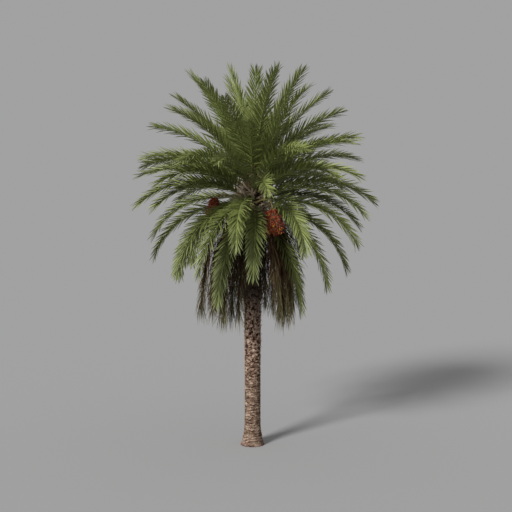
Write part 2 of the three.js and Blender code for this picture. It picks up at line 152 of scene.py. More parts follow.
def unit(vectors):
    """The same directions, each one metre long."""
    return vectors / np.maximum(np.linalg.norm(vectors, axis=-1, keepdims=True), 1e-9)


def bearing(angle):
    """Level directions at angles about the trunk's axis, in radians."""
    return np.stack([np.cos(angle), np.sin(angle), np.zeros_like(angle)], axis=-1)


def circle(sides):
    """The angles of a ring's corners."""
    return np.arange(sides) * 2 * math.pi / sides


def stem_radius(height):
    """The bare trunk's radius, flaring to the ground."""
    flare = np.clip(1 - height / FLARE_HEIGHT, 0, 1)
    return TRUNK_RADIUS + (FLARE_RADIUS - TRUNK_RADIUS) * flare**FLARE_POWER


def heart_radius(height):
    """The egg-shaped heart's radius at a height."""
    share = (height - HEART_CENTRE) / HEART_HEIGHT
    return HEART_RADIUS * math.sqrt(max(0, 1 - share * share))


def trunk_radius(height):
    """The radius of the stem or of the heart around it, whichever is the wider."""
    stem = stem_radius(height) if height < HEART_CENTRE else 0
    return max(stem, heart_radius(height))


def stand_aside(azimuth, age):
    """The azimuth of a lower frond once it has made way for the date bunches."""
    share = np.clip((age - BUNCH_PUSH_FROM) / (BUNCH_PUSH_FULL - BUNCH_PUSH_FROM), 0, 1)
    moved = azimuth
    for bunch in BUNCHES:
        off = (moved - bunch["azimuth"] + 180) % 360 - 180
        push = BUNCH_PUSH * share * math.exp(-abs(off) / BUNCH_PUSH_REACH)
        moved += -push if off < 0 else push
    return moved


def droop_from(elevation):
    """How far a green frond droops by its tip, in degrees, when it sets out at this elevation."""
    return DROOP_LEAST + DROOP_MOST * math.cos(math.radians(elevation)) ** 2


class Frond:
    """One frond: its place on the spiral, and its rib as stations with three directions each."""

    def __init__(self, number):
        self.number = number
        self.dead = number >= GREEN_FRONDS
        self.age = (number + 0.5) / GREEN_FRONDS
        scatter = (DEAD_AZIMUTH_JITTER if self.dead else AZIMUTH_JITTER) * jitter(number, "azimuth")
        turn, self.rise = MOVED.get(number, (0, 0))
        self.azimuth = stand_aside(FIRST_AZIMUTH + number * GOLDEN_ANGLE + scatter, self.age) + turn
        self.height = HEART_CENTRE + HEART_HEIGHT * (1 - HEART_SPAN * self.age)
        self.sway = (DEAD_SWAY if self.dead else SWAY) * jitter(number, "sway")
        self.twist = TWIST * jitter(number, "twist")
        self.u = np.linspace(0, 1, RIB_STEPS + 1)
        self.elevation, self.length = self.dead_course() if self.dead else self.green_course()
        self.grow()

    def green_course(self):
        """The rib's elevation along it, in degrees, and its length."""
        chord = math.degrees(math.asin(np.clip(1 - CROWN_SPREAD * self.age, -1, 1)))
        aim = min(chord + LAUNCH_LIFT * droop_from(chord + LAUNCH_LEAD), LAUNCH_MOST)
        launch = aim + LAUNCH_JITTER * jitter(self.number, "launch") + self.rise
        elevation = np.maximum(launch - droop_from(launch) * self.u**DROOP_POWER, -STEEPEST)
        length = FROND_LENGTH + FROND_LENGTH_GAIN * math.sin(math.pi * min(self.age, FULL_LENGTH_AGE))
        length *= GROWN.get(self.number, 1)
        return elevation, length * (1 + LENGTH_JITTER * jitter(self.number, "length"))

    def dead_course(self):
        """The same for a dead frond, which folds down to hang."""
        launch = DEAD_LAUNCH + DEAD_LAUNCH_JITTER * jitter(self.number, "launch")
        elevation = lerp(-STEEPEST, launch, np.exp(-self.u / DEAD_FOLD))
        return elevation, DEAD_LENGTH * (1 + DEAD_LENGTH_JITTER * jitter(self.number, "length"))

    def grow(self):
        """Lays the rib out step by step from the heart."""
        azimuth = np.radians(self.azimuth + self.sway * self.u**2)
        elevation = np.radians(self.elevation)
        level = np.cos(elevation)
        self.along = np.stack(
            [level * np.cos(azimuth), level * np.sin(azimuth), np.sin(elevation)], axis=1
        )
        flat = np.stack([np.sin(azimuth), -np.cos(azimuth), np.zeros_like(azimuth)], axis=1)
        turn = np.radians(self.twist * self.u)[:, None]
        self.side = flat * np.cos(turn) + np.cross(self.along, flat) * np.sin(turn)
        self.up = np.cross(self.side, self.along)
        steps = np.cumsum(self.along[:-1], axis=0) * self.length / RIB_STEPS
        start = polar(self.azimuth, heart_radius(self.height), self.height)
        self.place = start + np.vstack([np.zeros(3), steps])

    def at(self, u):
        """Place and directions (along, side, up) at shares of the rib's length."""
        found = [
            np.stack([np.interp(u, self.u, line[:, axis]) for axis in range(3)], axis=-1)
            for line in (self.place, self.along, self.side, self.up)
        ]
        return [found[0], *map(unit, found[1:])]

    def node(self):
        """The name of the solid that this frond belongs to."""
        if self.number < BUD_FRONDS:
            return "heart_fronds"
        if self.number < LONE_FRONDS_END:
            return f"frond_{self.number - BUD_FRONDS + 1:02d}"
        first, stem = (GREEN_FRONDS, "dead_frond_pair") if self.dead else (LONE_FRONDS_END, "frond_pair")
        group, place = divmod(self.number - first, 2 * PAIR_STEP)
        return f"{stem}_{group * PAIR_STEP + place % PAIR_STEP + 1:02d}"


def rib_section(frond, u):
    """A rib's width and height along a frond: broad at the base, then a stalk, then the blade's rib."""
    young = lerp(YOUNG_BASE, 1, min(frond.age / FULL_BASE_AGE, 1))

    def size(table):
        flare = np.clip(1 - u / BLADE_START, 0, 1) ** 2
        stalk = lerp(table["stalk"], table["base"] * young, flare)
        blade = lerp(table["blade"], table["tip"], (u - BLADE_START) / (1 - BLADE_START))
        return np.where(u < BLADE_START, stalk, blade)

    return size(RIB_WIDTHS), size(RIB_HEIGHTS)


# ---- finishes

# Towards the crown the trunk and the old leaf bases darken to this brown, partly for their darker old
# fibre and partly as painted shade of the crown: between which heights, and by what share
DARK_FIBRE_AND_SHADE_HEIGHTS, DARK_FIBRE_AND_SHADE_BROWN, DARK_FIBRE_AND_SHADE_SHARE = (3.5, 4.6), "20130c", 0.85
FLECK_HEIGHTS = (1.4, 3.2)  # where flecks come in on the bark
ROUGH_HEIGHTS = (1.6, 3.4)  # where its colours turn from the worn bark's to the rough bark's


def paint(code):
    """A colour for a shader from its six-figure web code."""
    shares = [int(code[k : k + 2], 16) / 255 for k in (0, 2, 4)]
    return (*[s / 12.92 if s <= 0.04045 else ((s + 0.055) / 1.055) ** 2.4 for s in shares], 1)


class Signal:
    """An output socket in a finish. Arithmetic on it adds Math nodes."""

    def __init__(self, finish, socket):
        self.finish, self.socket = finish, socket

    def math(self, operation, a, b):
        return self.finish.node("Math", {"operation": operation}, {0: a, 1: b})

    def __add__(self, other):
        return self.math("ADD", self, other)

    def __sub__(self, other):
        return self.math("SUBTRACT", self, other)

    def __mul__(self, other):
        return self.math("MULTIPLY", self, other)


class Finish:
    """A material with one Principled shader, and the nodes that feed it."""

    def __init__(self, name, **constants):
        self.material = bpy.data.materials.new(name)
        self.material.use_nodes = True
        self.tree = self.material.node_tree
        self.shader = self.tree.nodes["Principled BSDF"]
        for socket, value in constants.items():
            self.set(socket.replace("_", " "), value)

    def set(self, socket, value):
        """Gives the shader's socket a value or a signal."""
        if isinstance(value, Signal):
            self.tree.links.new(value.socket, self.shader.inputs[socket])
        else:
            self.shader.inputs[socket].default_value = value

    def node(self, kind, settings, inputs, output=0):
        """Adds any node: its settings first, then the values or signals of its inputs."""
        node = self.tree.nodes.new("ShaderNode" + kind)
        for key, value in settings.items():
            if key == "stops":
                ramp = node.color_ramp
                while len(ramp.elements) < len(value):
                    ramp.elements.new(1)
                for element, (position, colour) in zip(ramp.elements, value):
                    element.position, element.color = position, colour
            else:
                setattr(node, key, value)
        for key, value in inputs.items():
            if isinstance(value, Signal):
                self.tree.links.new(value.socket, node.inputs[key])
            else:
                node.inputs[key].default_value = value
        return Signal(self, node.outputs[output])

    def noise(self, scale, detail, stretch=(1, 1, 1)):
        """Soft noise from 0 to 1 over the object, finer along the axes that are stretched more."""
        place = self.node("TexCoord", {}, {}, "Object")
        place = self.node("Mapping", {}, {"Vector": place, "Scale": stretch})
        return self.node("TexNoise", {}, {"Vector": place, "Scale": scale, "Detail": detail})

    def between(self, signal, low, high):
        """A signal as a share: 0 at low, 1 at high."""
        return self.node("MapRange", {}, {"Value": signal, "From Min": low, "From Max": high})

    def height(self, low, high):
        """The height over the ground as a share between two heights."""
        place = self.node("TexCoord", {}, {}, "Object")
        return self.between(self.node("SeparateXYZ", {}, {"Vector": place}, "Z"), low, high)

    def blend(self, share, first, second):
        """A colour between two, by a signal from 0 to 1."""
        return self.node("Mix", {"data_type": "RGBA"}, {"Factor": share, 6: first, 7: second}, 2)

    def ramp(self, signal, *stops):
        painted = [(at, paint(code)) for at, code in stops]
        return self.node("ValToRGB", {"stops": painted}, {"Fac": signal})

    def bump(self, height, depth, strength):
        bump = self.node("Bump", {}, {"Height": height, "Distance": depth, "Strength": strength})
        self.set("Normal", bump)


def leaf_finish(name, colour, pale, roughness=0.62, shine=0.9):
    """Leaflets: slow drifts between two near colours."""
    leaf = Finish(name, Roughness=roughness, Specular_IOR_Level=shine)
    leaf.set("Base Color", leaf.blend(leaf.noise(3.5, 2), paint(colour), paint(pale)))
    return leaf.material


def rib_finish(name, colour, pale):
    """The ribs and stalks: smooth, with faint blotches."""
    rib = Finish(name, Roughness=0.45)
    rib.set("Base Color", rib.blend(rib.noise(14, 3), paint(colour), paint(pale)))
    rib.bump(rib.noise(90, 2), 0.001, 0.4)
    return rib.material


def fibre_finish(name, dark, pale, dark_fibre_and_shade=0):
    """Roots, fibre and old leaf bases: matt and blotched, and darker by a share under the fronds, partly
    for darker old fibre and partly as painted shade of the crown.
    """
    fibre = Finish(name, Roughness=0.9)
    colour = fibre.blend(fibre.noise(26, 4), paint(dark), paint(pale))
    # Darker under the crown: partly darker old fibre, partly painted shade of the crown.
    if dark_fibre_and_shade:
        colour = fibre.blend(fibre.height(*DARK_FIBRE_AND_SHADE_HEIGHTS) * dark_fibre_and_shade, colour, paint(DARK_FIBRE_AND_SHADE_BROWN))
    fibre.set("Base Color", colour)
    fibre.bump(fibre.noise(140, 3), 0.003, 0.7)
    return fibre.material


def bark_finish():
    """The trunk: painted shade in the hollows under the old leaf bases and in the pits, weathered lips,
    and darker near the crown, partly for darker old fibre and partly as painted shade of the crown.
    """
    bark = Finish("bark", Roughness=0.92, Specular_IOR_Level=0.2)
    relief = bark.node("Attribute", {"attribute_name": "relief"}, {}, "Fac")
    grain = bark.noise(26, 4, (1, 1, 1.4))
    patches = bark.noise(3.6, 3)
    flecks = (bark.noise(75, 3, (1, 1, 0.7)) - 0.5) * bark.height(*FLECK_HEIGHTS)
    # The relief makes the hollows and pits darker: painted shade, mixed with the bark's own grain,
    # patches and flecks.
    tone = relief + (grain - 0.5) * 1.1 + (patches - 0.5) * 0.3 + flecks * 1.3
    # Both ramps run from painted shade in the hollows to the bark's own pale colour on the lips.
    weathered = bark.ramp(
        tone, (0.05, "221510"), (0.28, "4a362b"), (0.55, "6c5848"), (0.95, "a69180")
    )
    rough = bark.ramp(tone, (0.08, "28150b"), (0.36, "492e20"), (0.62, "806657"), (0.9, "c2ad9c"))
    colour = bark.blend(bark.height(*ROUGH_HEIGHTS), weathered, rough)
    # Darker towards the crown: partly darker old fibre, partly painted shade of the crown.
    dark_fibre_and_shade = bark.height(*DARK_FIBRE_AND_SHADE_HEIGHTS) * DARK_FIBRE_AND_SHADE_SHARE
    bark.set("Base Color", bark.blend(dark_fibre_and_shade, colour, paint(DARK_FIBRE_AND_SHADE_BROWN)))
    bark.bump(bark.noise(160, 4, (1, 1, 0.4)) + grain * 0.6, 0.005, 0.8)
    return bark.material


def date_finish(name, colour, blush):
    """A date's skin: glossy, blushing unevenly."""
    date = Finish(name, Roughness=0.32)
    date.set("Base Color", date.blend(date.noise(35, 2), paint(colour), paint(blush)))
    date.bump(date.noise(260, 2), 0.0006, 0.3)
    return date.material


# ---- pieces made of many like shapes


class Shape:
    """The corner count and the faces of one shape that is repeated, with each face's finish."""

    def __init__(self, corners, faces, finishes=None):
        self.corners = corners
        self.faces = faces
        self.finishes = [0] * len(faces) if finishes is None else finishes

    def with_finish(self, number):
        """The same shape, all in the piece's finish of that number."""
        return Shape(self.corners, self.faces, [number] * len(self.faces))


def ringed(rings, sides, finish_at=lambda ring: 0):
    """A sleeve of rings of corners, joined ring to ring, with both ends covered."""
    faces = []
    for ring in range(rings - 1):
        for side in range(sides):
            a, b = ring * sides + side, ring * sides + (side + 1) % sides
            faces.append((a, b, b + sides, a + sides))
    marks = [finish_at(ring) for ring in range(rings - 1) for _ in range(sides)]
    last = (rings - 1) * sides
    faces += [tuple(range(sides))[::-1], tuple(range(last, last + sides))]
    return Shape(rings * sides, faces, marks + [marks[0], marks[-1]])


NEARLY_UP = [0.0131, 0.0117, 1.0]  # no path heads exactly this way


def sleeves(paths, radii, sides):
    """Rings of corners about many paths, (paths, points, 3), with a radius at each point."""
    heading = unit(np.gradient(paths, axis=1))
    across = unit(np.cross(heading, NEARLY_UP))
    above = np.cross(across, heading)
    angles = circle(sides)
    rings = np.cos(angles)[:, None] * across[:, :, None] + np.sin(angles)[:, None] * above[:, :, None]
    return paths[:, :, None] + rings * np.broadcast_to(radii, paths.shape[:2])[:, :, None, None]


def piece(name, batches, finishes, nodes=()):
    """One piece from batches of like shapes. A batch is a shape and the corners of all its copies."""
    points, corners, totals, marks = [], [], [], []
    count = 0
    for shape, copies in batches:
        copies = np.asarray(copies, float).reshape(-1, shape.corners, 3)
        loop = np.concatenate([np.array(face) for face in shape.faces])
        offsets = count + np.arange(len(copies)) * shape.corners
        points.append(copies.reshape(-1, 3))
        corners.append((loop[None, :] + offsets[:, None]).ravel())
        totals.append(np.tile([len(face) for face in shape.faces], len(copies)))
        marks.append(np.tile(shape.finishes, len(copies)))
        count += len(copies) * shape.corners
    points, corners, totals = map(np.concatenate, (points, corners, totals))
    mesh = bpy.data.meshes.new(name)
    mesh.vertices.add(len(points))
    mesh.vertices.foreach_set("co", points.astype(np.float32).ravel())
    mesh.loops.add(len(corners))
    mesh.loops.foreach_set("vertex_index", corners.astype(np.int32))
    mesh.polygons.add(len(totals))
    mesh.polygons.foreach_set("loop_start", np.concatenate([[0], np.cumsum(totals)[:-1]]))
    mesh.polygons.foreach_set("loop_total", totals)
    mesh.polygons.foreach_set("material_index", np.concatenate(marks))
    finished(name, mesh, finishes, nodes)


def finished(name, mesh, finishes, nodes):
    """The piece of that mesh, with its finishes, riding on the palm in place of its solids."""
    mesh.polygons.foreach_set("use_smooth", np.ones(len(mesh.polygons), bool))
    mesh.update(calc_edges=True)
    thing = bpy.data.objects.new(name, mesh)
    bpy.context.scene.collection.objects.link(thing)
    for finish in finishes:
        mesh.materials.append(finish)
    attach(thing, "root")
    if nodes:
        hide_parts(*nodes)


# ---- ribs, spines and leaflets

RIB_SIDES = 6
# The rib's stations that carry a ring: every second one, and two more at the foot
RIB_RINGS = np.sort(np.append(np.arange(0, RIB_STEPS + 1, 2), [1, 3]))
SHEATH_END = 0.075  # of a rib's length, where the clasping sheath has narrowed to the stalk
SHEATH_WIDTH = 1.7  # of the rib's own base width
BARE_END = 0.12  # the pale brown part of the stalk
STALK_END = 0.25
YOUNG_LEAVES_FROM, OLD_LEAVES_FROM = 0.07, 0.125  # nearer the heart than the solids' blades

SPINES = 7
SPINE_FIRST, SPINE_LAST = 0.04, 0.09
SPINE_LENGTHS = (0.035, 0.11)
SPINE_SCATTER = (0.8, 1.1)
SPINE_RADIUS = 0.0035
SPINE_PROFILE = np.array([1, 0.6, 0.08])  # shares of the radius at the foot, the middle and the tip
SPINE_SEAT = 0.4  # of the stalk's width, off its middle
SPINE_SLANT = 0.7  # how far it leans along the stalk
SPINE_LIFTS = (0.15, 0.2)  # how far it leans up, and the scatter of that
SPINE_SIDES = 3

# A leaflet's length along the blade and its sweep: longer than the solids' teeth, nearer the rib.
LEAFLET = 0.610
DEAD_LEAFLET = 0.640
LEAFLET_RISE = 0.3
LEAFLET_FIRST = 0.52
LEAFLET_LAST = 0.66
LEAFLET_TAPER = 1.6
SWEEP_FIRST = 44
SWEEP_LAST = 22
DEAD_SWEEP = 20

LEAFLET_RINGS = np.array([0, 0.14, 0.42, 0.76, 1])
LEAFLET_WIDTHS = np.array([0.45, 0.9, 1, 0.66])  # at all rings but the last, which is the tip
FOLD = math.radians(24)  # by which each half of a leaflet stands up from its keel
LEAFLET_ASIDE, LEAFLET_ABOVE = 0.35, 0.2  # of the rib's width and height, off its middle
WIDTH_SCATTER = (0.85, 1.15)
PITCH_SCATTER = 0.06
END_FAN = 9 * np.array([-1, 0.8, -0.35, 0.4, 0])  # degrees aside of the rib, one for each end leaflet
END_SAG = 0.08
END_LENGTH = 0.55
END_FROM = 0.97
END_TILT = 0.8

# How the leaflets sit on a green and on a dead frond: the pitch of their clusters, the planes of a
# cluster's leaflets in degrees above the blade, their spacing along the rib, their width and its
# least share near the tip, how they vary and how far they sag.
GREEN_LEAVES = {
    "pitch": 0.110, "lifts": (48, 18, -10), "spread": 0.030, "width": 0.050, "tip_width": 0.6,
    "lift_scatter": 6, "sweep_scatter": 3, "lengths": (0.9, 1.1), "sag": (0.02, 0.2),
}
DEAD_LEAVES = {
    "pitch": 0.048, "lifts": (75, 15, -45), "spread": 0.022, "width": 0.018, "tip_width": 0.7,
    "lift_scatter": 20, "sweep_scatter": 9, "lengths": (0.5, 1.7), "sag": (0.4, 1.0),
}

TRUNK_CLEARANCE = 0.02
BUNCH_ROOM = np.array([0.38, 0.38, 0.50])  # kept free of leaflet tips, on a bunch of size 1

rng = np.random.default_rng(SEED)


def rib_corners(frond):
    """The rib's six-sided rings, broadening at the foot into a sheath that clasps the heart."""
    u = frond.u[RIB_RINGS]
    lines = (frond.place, frond.along, frond.side, frond.up)
    place, along, side, up = (line[RIB_RINGS] for line in lines)
    place = place.copy()
    place[0] -= along[0] * ROOT_DEPTH
    width, height = rib_section(frond, u)
    width = width * lerp(1, SHEATH_WIDTH, np.clip(1 - u / SHEATH_END, 0, 1))
    angles = circle(RIB_SIDES)
    across = np.cos(angles)[None, :, None] * side[:, None] * width[:, None, None] / 2
    upward = np.sin(angles)[None, :, None] * up[:, None] * height[:, None, None] / 2
    return place[:, None] + across + upward


def spine_corners(frond):
    """The spines along both edges of a green frond's stalk."""
    share = np.repeat(np.linspace(0, 1, SPINES), 2)
    hand = np.tile([1.0, -1.0], SPINES)[:, None]
    u = lerp(SPINE_FIRST, SPINE_LAST, share)
    place, along, side, up = frond.at(u)
    width, _ = rib_section(frond, u)
    lift = rng.normal(*SPINE_LIFTS, (len(u), 1))
    heading = unit(side * hand + along * SPINE_SLANT + up * lift)
    foot = place + side * hand * width[:, None] * SPINE_SEAT
    length = lerp(*SPINE_LENGTHS, share) * rng.uniform(*SPINE_SCATTER, len(u))
    tip = foot + heading * length[:, None]
    paths = np.stack([foot, (foot + tip) / 2, tip], axis=1)
    return sleeves(paths, SPINE_PROFILE * SPINE_RADIUS, SPINE_SIDES)


def leaflet_shape():
    """A keeled strip: rings of left edge, keel and right edge, and a pointed tip."""
    rings = len(LEAFLET_RINGS) - 1
    faces = []
    for ring in range(rings - 1):
        a = 3 * ring
        faces += [(a, a + 1, a + 4, a + 3), (a + 1, a + 2, a + 5, a + 4)]
    last, tip = 3 * (rings - 1), 3 * rings
    faces += [(last, last + 1, tip), (last + 1, last + 2, tip)]
    return Shape(tip + 1, faces)


def leaflet_corners(root, direction, normal, length, width, sag):
    """Leaflets from their roots, first directions and upper sides, bending down by their sag."""
    rings, centre = [], root
    for k, share in enumerate(LEAFLET_RINGS):
        pull = (sag * share)[:, None]
        heading = unit(direction * (1 - pull) - UP * pull)
        if k:
            centre = centre + heading * (length * (share - LEAFLET_RINGS[k - 1]))[:, None]
        if share == 1:
            rings.append(centre[:, None])
            break
        across = unit(np.cross(heading, normal))
        above = np.cross(across, heading)
        half = (width * LEAFLET_WIDTHS[k] / 2)[:, None]
        edge, rise = across * half * math.cos(FOLD), above * half * math.sin(FOLD)
        rings.append(np.stack([centre - edge + rise, centre, centre + edge + rise], axis=1))
    return np.concatenate(rings, axis=1)


def clear_of_bunches_and_trunk(points):
    """Which points lie outside the trunk and the room of the date bunches."""
    free = np.hypot(points[:, 0], points[:, 1]) > stem_radius(points[:, 2]) + TRUNK_CLEARANCE
    for bunch in BUNCHES:
        middle = polar(bunch["azimuth"], bunch["reach"], bunch["height"])
        off = (points - middle) / (BUNCH_ROOM * bunch["size"])
        free &= np.linalg.norm(off, axis=1) > 1
    return free


def frond_leaflets(frond):
    """All leaflets of one frond, in clusters along both sides of its rib."""
    habit = DEAD_LEAVES if frond.dead else GREEN_LEAVES
    leaves_from = lerp(YOUNG_LEAVES_FROM, OLD_LEAVES_FROM, min(frond.age, 1))
    blade = frond.length * (RIB_TIP - leaves_from)
    clusters = round(blade / habit["pitch"])
    middles = (np.arange(clusters) + 0.5) / clusters
    share, lift, hand = (
        grid.ravel() for grid in np.meshgrid(middles, habit["lifts"], (1.0, -1.0), indexing="ij")
    )
    count = len(share)
    order = np.tile(np.repeat(np.linspace(-1, 1, len(habit["lifts"])), 2), clusters)
    stray = rng.normal(0, PITCH_SCATTER * habit["pitch"], count)
    share = np.clip(share + (order * habit["spread"] + stray) / blade, 0, 1)
    lift = np.radians(lift + rng.normal(0, habit["lift_scatter"], count))
    place, along, side, up = frond.at(lerp(leaves_from, RIB_TIP, share))
    growth = np.clip(share / LEAFLET_RISE, 0, 1)
    fall = np.clip((share - LEAFLET_RISE) / (1 - LEAFLET_RISE), 0, 1)
    length = (DEAD_LEAFLET if frond.dead else LEAFLET) * lerp(LEAFLET_FIRST, 1, growth)
    length = length * lerp(1, LEAFLET_LAST, fall**LEAFLET_TAPER) * rng.uniform(*habit["lengths"], count)
    sweep = DEAD_SWEEP if frond.dead else lerp(SWEEP_FIRST, SWEEP_LAST, share)
    sweep = np.radians(sweep + rng.normal(0, habit["sweep_scatter"], count))[:, None]
    outward = side * (hand * np.cos(lift))[:, None] + up * np.sin(lift)[:, None]
    normal = up * np.cos(lift)[:, None] - side * (hand * np.sin(lift))[:, None]
    direction = along * np.cos(sweep) + outward * np.sin(sweep)
    rib_width, rib_height = rib_section(frond, lerp(leaves_from, RIB_TIP, share))
    root = place + side * (hand * rib_width * LEAFLET_ASIDE)[:, None]
    root = root + up * (rib_height * LEAFLET_ABOVE)[:, None]
    width = habit["width"] * lerp(1, habit["tip_width"], fall) * rng.uniform(*WIDTH_SCATTER, count)
    sag = rng.uniform(*habit["sag"], count)
    corners = leaflet_corners(root, direction, normal, length, width, sag)
    return corners[clear_of_bunches_and_trunk(corners[:, -1])]


def end_leaflets(frond):
    """The last leaflets, a fan straight on from the rib's end."""
    habit = DEAD_LEAVES if frond.dead else GREEN_LEAVES
    count = len(END_FAN)
    place, along, side, up = frond.at(np.linspace(END_FROM, 1, count))
    fan = np.radians(END_FAN)[:, None]
    direction = along * np.cos(fan) + side * np.sin(fan)
    length = np.full(count, END_LENGTH * (DEAD_LEAFLET if frond.dead else LEAFLET))
    width = np.full(count, habit["tip_width"] * habit["width"])
    normal = unit(up + rng.normal(0, END_TILT, (count, 1)) * side)
    return leaflet_corners(place, direction, normal, length, width, np.full(count, END_SAG))


# ---- trunk

BARK_SIDES = 150
BARK_STEP = 0.0135
BARK_TIP = 0.02  # this near the tip, in height or in radius, the bark is plain
SCAR_PITCH = 0.086
SCARS_AROUND = 9
SCAR_TURN = 0.382  # of a scar's width, from one row to the next
SCAR_SMILES = (0.1, 0.5)  # how far a scar's lower edge curves up at its ends, as a share of the pitch
SCAR_WOBBLE = 0.6
LIP_LEAST = 0.6  # the smallest lip's share of the largest
LIP_RISE, LIP_FALL = 0.3, 0.3  # the share of a pitch it rises over, and how much it has lost one pitch up
ROUGH_SCALE, ROUGH_FRACTAL = 9, (0.8, 2.1, 4)  # the last are its fall-off, lacunarity and octaves
WARP_SCALE = 3.3
WARP_TURN, WARP_RISE, ROUGH_RISE = 0.14, 0.05, 0.014  # radians and metres that they shift the scars by
ROUGH_FROM, ROUGH_FULL = 1.5, 3.4  # heights between which the bark turns from worn to rough
# On worn and on rough bark: the relief's depth, the relief that lies at the trunk's own radius, the
# share of the roughness in it, and the pits' half widths, half heights and depths.
BARK_DEPTHS = (0.018, 0.042)
BARK_LEVELS = (1.1, 0.6)
ROUGH_SHARES = (0.2, 0.3)
PIT_WIDTHS = (0.070, 0.027)
PIT_HEIGHTS = (0.010, 0.028)
PIT_DEPTHS = (0.4, 0.85)
FLATTER, HIGHER = 0.5, 0.35  # how rough bark's relief is squeezed
RELIEF_MOST = 1.2
GRIT = 0.004
PIT_SIZES = (0.45, 1.4)
PIT_EDGE = 1.4  # its reach, as a share of its size
PIT_SHIFT = 0.8  # how far a pit may sit off the middle of its cell, as a share of the cell

BOOTS = 260
BOOT_LOW, BOOT_FULL, BOOT_HIGH = 2.2, 5.2, 6.95  # heights: the first, the first of full size, the last
BOOT_LEAST = 0.22  # of full size
BOOT_LENGTHS = (0.10, 0.20)
BOOT_LEANS = (0.9, 1.5)  # its rise for each metre outwards
BOOT_SECTIONS = ((-0.2, 0.075, 0.020), (0.45, 0.055, 0.017), (1, 0.036, 0.013))  # share, half sizes
BOOT_SIDES = 6
FOOT_SINK = 0.03  # how deep leaf bases and stubs start in the trunk

STUBS = 84
STUB_LOW, STUB_HIGH = 6.80, 7.50
STUB_LENGTHS = (0.18, 0.36)
STUB_RADII = (0.019, 0.035)
STUB_ASIDE, STUB_RISES = (-1.2, 1.2), (-0.5, 1.2)  # where it bends to, for each metre outwards
STUB_ARM = 0.6  # the share of its length before the bend, and after it
STUB_SIDES = 6

FIBRES = 110
FIBRE_TOPS = (5.0, 6.4)
FIBRE_LENGTHS = (0.7, 1.6)
FIBRE_OFFS = (0.03, 0.12)  # how far off the trunk they hang
FIBRE_SWAY = 5  # degrees
FIBRE_RADIUS = 0.008
FIBRE_PROFILE = np.array([0.8, 1, 0.9, 0.7, 0.1])
FIBRE_SIDES = 3

ROOTS = 90
ROOT_TOPS = (0.03, 0.12)
ROOT_REACH = 0.04
ROOT_SINK = 0.015
ROOTS_GATHERED = 0.5  # the share that breaks out on one side
ROOT_SPREAD = 34  # degrees about the azimuth where most of them break out
ROOT_AZIMUTH = 200
ROOT_RADIUS = 0.009
ROOT_PROFILE = np.array([1, 1, 0.9, 0.5])
ROOT_SIDES = 5


def hash_share(a, b, c=0):
    """Fixed numbers from 0 to 1 for pairs of whole numbers."""
    x = np.sin(a * 127.1 + b * 311.7 + c * 74.7) * 43758.5453
    return x - np.floor(x)


def scar_relief(angle, height):
    """How far the bark stands out, from 0 in the hollows to 1 on the lips of the leaf scars."""
    best = np.full(angle.shape, -1e9)
    relief = np.zeros(angle.shape)
    base = np.floor(height / SCAR_PITCH)
    for back in (2, 1, 0, -1):
        row = base - back
        turns = SCARS_AROUND * angle / (2 * math.pi) + SCAR_TURN * row
        scar = np.floor(turns) % SCARS_AROUND
        off = turns - np.floor(turns) - 0.5
        wobble = SCAR_WOBBLE * (hash_share(row, scar) - 0.5)
        smile = lerp(*SCAR_SMILES, hash_share(row, scar, 5))
        edge = (row + wobble + smile * (2 * off) ** 2) * SCAR_PITCH
        above = (height - edge) / SCAR_PITCH
        size = lerp(LIP_LEAST, 1, hash_share(row, scar, 3))
        lip = size * (1 - LIP_FALL * np.clip(above, 0, 1)) * np.clip(above / LIP_RISE, 0, 1)
        on_top = (above > 0) & (edge > best)
        relief = np.where(on_top, lip, relief)
        best = np.where(on_top, edge, best)
    return relief


def pit_depth(angle, height, upper):
    """How deep the pits between the old leaf bases are: one in each cell of their lattice."""
    deepest = np.zeros(angle.shape)
    for up in (-1, 0, 1):
        row = np.floor(height / SCAR_PITCH) + up
        turns = SCARS_AROUND * angle / (2 * math.pi) + SCAR_TURN * row
        for step in (-1, 0, 1):
            cell = np.floor(turns) + step
            scar = cell % SCARS_AROUND
            shift = PIT_SHIFT * (hash_share(row, scar, 7) - 0.5)
            across = (turns - cell - 0.5 - shift) * 2 * math.pi * TRUNK_RADIUS / SCARS_AROUND
            shift = PIT_SHIFT * (hash_share(row, scar, 11) - 0.5)
            rise = height - (row + 0.5 + shift) * SCAR_PITCH
            size = lerp(*PIT_SIZES, hash_share(row, scar, 13))
            slant = hash_share(row, scar, 17) - 0.5
            wide, tall = size * lerp(*PIT_WIDTHS, upper), size * lerp(*PIT_HEIGHTS, upper)
            off = np.hypot(across / wide, (rise + slant * across) / tall)
            deepest = np.maximum(deepest, np.clip(PIT_EDGE - off, 0, 1))
    return deepest


def turned(profile, steps):
    """A closed surface turned about the trunk's axis from points of radius and height."""
    bm = bmesh.new()
    line = [bm.verts.new((radius, 0, z)) for radius, z in profile]
    edges = [bm.edges.new(pair) for pair in zip(line, line[1:])]
    bmesh.ops.spin(
        bm, geom=line + edges, axis=(0, 0, 1), cent=(0, 0, 0),
        angle=2 * math.pi, steps=steps, use_merge=True,
    )
    bmesh.ops.remove_doubles(bm, verts=bm.verts, dist=1e-5)
    bmesh.ops.recalc_face_normals(bm, faces=bm.faces)
    return bm


